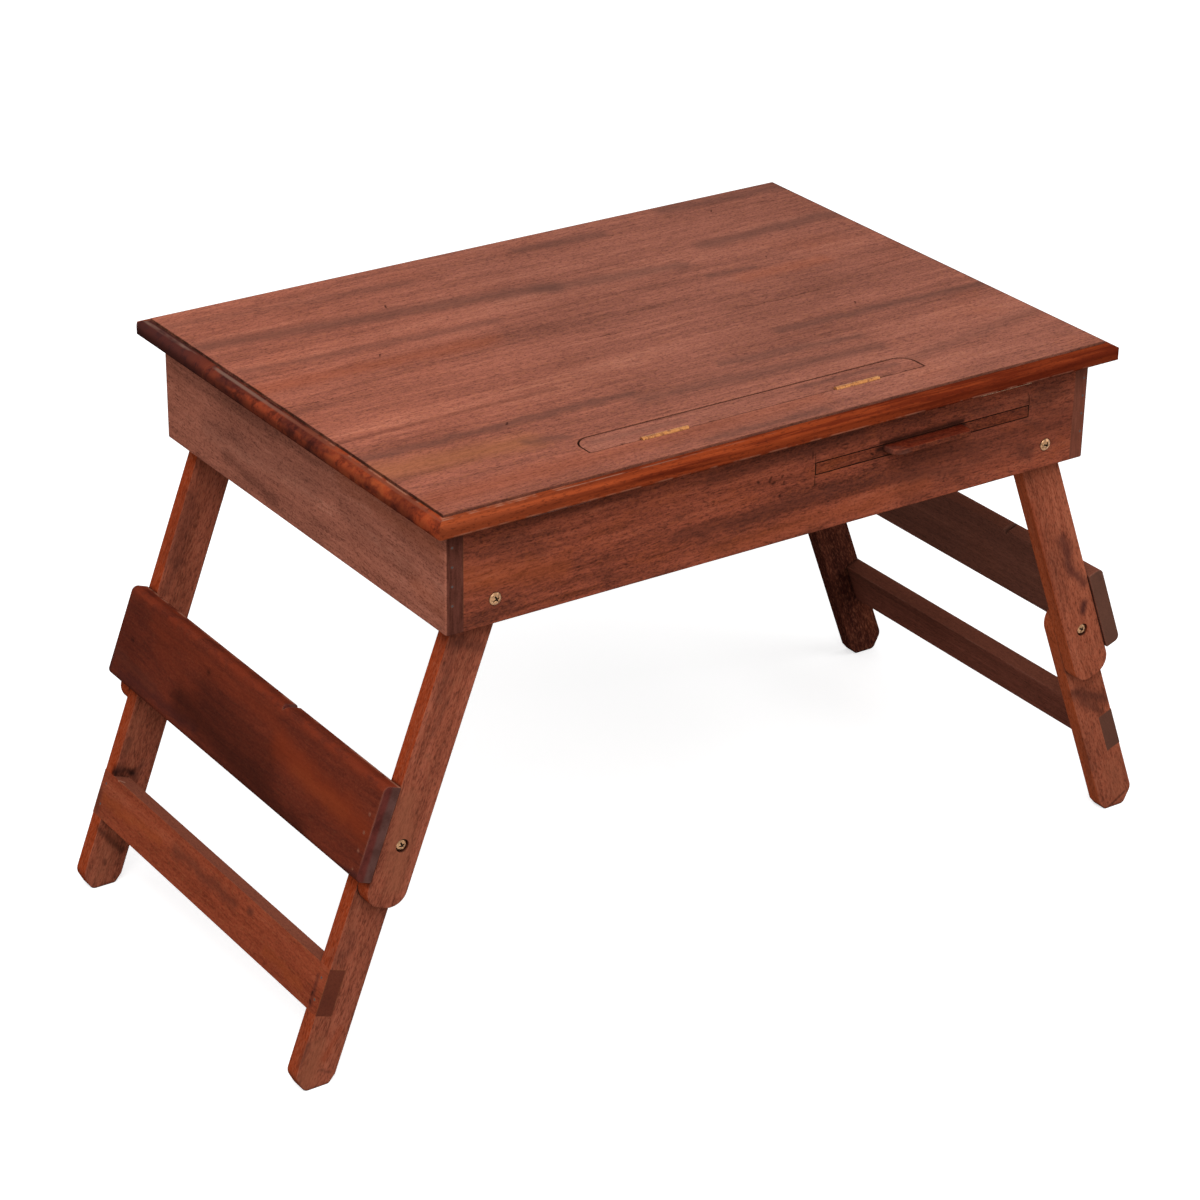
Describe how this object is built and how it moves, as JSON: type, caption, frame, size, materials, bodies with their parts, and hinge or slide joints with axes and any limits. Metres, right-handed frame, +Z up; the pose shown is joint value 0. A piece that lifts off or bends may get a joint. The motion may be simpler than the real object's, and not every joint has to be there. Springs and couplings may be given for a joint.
{
  "type": "folding lap desk",
  "caption": "Folding wooden lap desk: tilting lid with moulded edge and fold-up book stop, shallow pull-out tray in the front, and splayed leg frames that fold under the box.",
  "frame": {"origin": "on the floor under the middle of the lid", "axes": "+X along the long side towards the tray's side, +Y from the front with the tray to the back, +Z up"},
  "size_m": [0.733, 0.406, 0.4134],
  "materials": {
    "lid_wood": "satin lacquer over reddish-brown stain",
    "front_apron_wood": "satin lacquer over reddish-brown stain",
    "side_apron_wood": "satin lacquer over reddish-brown stain",
    "leg_wood": "satin lacquer over reddish-brown stain",
    "board_wood": "satin lacquer over dark red-brown stain",
    "stretcher_wood": "satin lacquer over reddish-brown stain",
    "inner_wood": "bare, lightly stained wood",
    "hinge_brass": "dull, lightly tarnished brass",
    "screw_brass": "worn yellow plating",
    "nail_steel": "dull nail heads, stained over"
  },
  "bodies": {
    "box": {"front_apron": "front_apron_wood", "back_apron": "side_apron_wood", "left_end_apron": "side_apron_wood", "right_end_apron": "side_apron_wood", "corner_nails": "nail_steel", "tray_guide_left": "inner_wood", "tray_guide_right": "inner_wood", "prop_ratchet_left": "inner_wood", "prop_ratchet_right": "inner_wood", "lid_hinge_box_leaves": "hinge_brass", "lid_hinge_box_screws": "screw_brass", "lid_hinge_pins": "hinge_brass"},
    "lid": {"lid_board_1": "lid_wood", "lid_board_2": "lid_wood", "lid_board_3": "lid_wood", "lid_board_4": "lid_wood", "lid_hinge_lid_leaves": "hinge_brass", "lid_hinge_lid_screws": "screw_brass", "book_stop_lid_leaves": "hinge_brass", "book_stop_lid_screws": "screw_brass", "book_stop_hinge_pins": "hinge_brass", "prop_block_left": "inner_wood", "prop_block_right": "inner_wood", "prop_pins": "screw_brass"},
    "book_stop": {"book_stop_flap": "lid_wood", "book_stop_flap_leaves": "hinge_brass", "book_stop_flap_screws": "screw_brass"},
    "lid_prop": {"prop_arm_left": "inner_wood", "prop_arm_right": "inner_wood", "prop_cross_rail": "inner_wood", "prop_foot_bar": "inner_wood"},
    "tray": {"tray_floor": "front_apron_wood", "tray_front_rim": "front_apron_wood", "tray_back_rim": "inner_wood", "tray_left_rim": "inner_wood", "tray_right_rim": "inner_wood", "tray_stop_cleat": "inner_wood", "tray_pull": "front_apron_wood"},
    "left_upper_frame": {"left_upper_leg_front": "leg_wood", "left_upper_leg_back": "leg_wood", "left_wide_board": "board_wood", "left_board_nails": "nail_steel", "left_pivot_screws": "screw_brass"},
    "left_lower_frame": {"left_lower_leg_front": "leg_wood", "left_lower_leg_back": "leg_wood", "left_stretcher": "stretcher_wood", "left_stretcher_nails": "nail_steel", "left_knee_screws": "screw_brass"},
    "right_upper_frame": {"right_upper_leg_front": "leg_wood", "right_upper_leg_back": "leg_wood", "right_wide_board": "board_wood", "right_board_nails": "nail_steel", "right_pivot_screws": "screw_brass"},
    "right_lower_frame": {"right_lower_leg_front": "leg_wood", "right_lower_leg_back": "leg_wood", "right_stretcher": "stretcher_wood", "right_stretcher_nails": "nail_steel", "right_knee_screws": "screw_brass"}
  },
  "joints": [
    {"name": "lid_hinge", "type": "hinge", "parent": "box", "child": "lid", "pos_m": [0, -0.1935, 0.39666], "axis": [1, 0, 0], "range_deg": [0, 40]},
    {"name": "lid_prop_pivot", "type": "hinge", "parent": "lid", "child": "lid_prop", "pos_m": [0, -0.0185, 0.39166], "axis": [-1, 0, 0], "range_deg": [0, 80]},
    {"name": "book_stop_hinge", "type": "hinge", "parent": "lid", "child": "book_stop", "pos_m": [0, -0.163, 0.41136], "axis": [1, 0, 0], "range_deg": [0, 90]},
    {"name": "tray_slide", "type": "slide", "parent": "box", "child": "tray", "axis": [0, -1, 0], "range_m": [0, 0.17]},
    {"name": "left_leg_pivot", "type": "hinge", "parent": "box", "child": "left_upper_frame", "pos_m": [-0.22819, 0, 0.34076], "axis": [0, -1, 0], "range_deg": [0, 109.6]},
    {"name": "left_knee", "type": "hinge", "parent": "left_upper_frame", "child": "left_lower_frame", "pos_m": [-0.29088, 0, 0.1731], "axis": [0, -1, 0], "range_deg": [0, 180]},
    {"name": "right_leg_pivot", "type": "hinge", "parent": "box", "child": "right_upper_frame", "pos_m": [0.22819, 0, 0.34076], "axis": [0, 1, 0], "range_deg": [0, 109.6]},
    {"name": "right_knee", "type": "hinge", "parent": "right_upper_frame", "child": "right_lower_frame", "pos_m": [0.29088, 0, 0.1731], "axis": [0, 1, 0], "range_deg": [0, 180]}
  ],
  "couplings": [
    {"joint": "lid_prop_pivot", "follows": "lid_hinge", "ratio": 2}
  ]
}
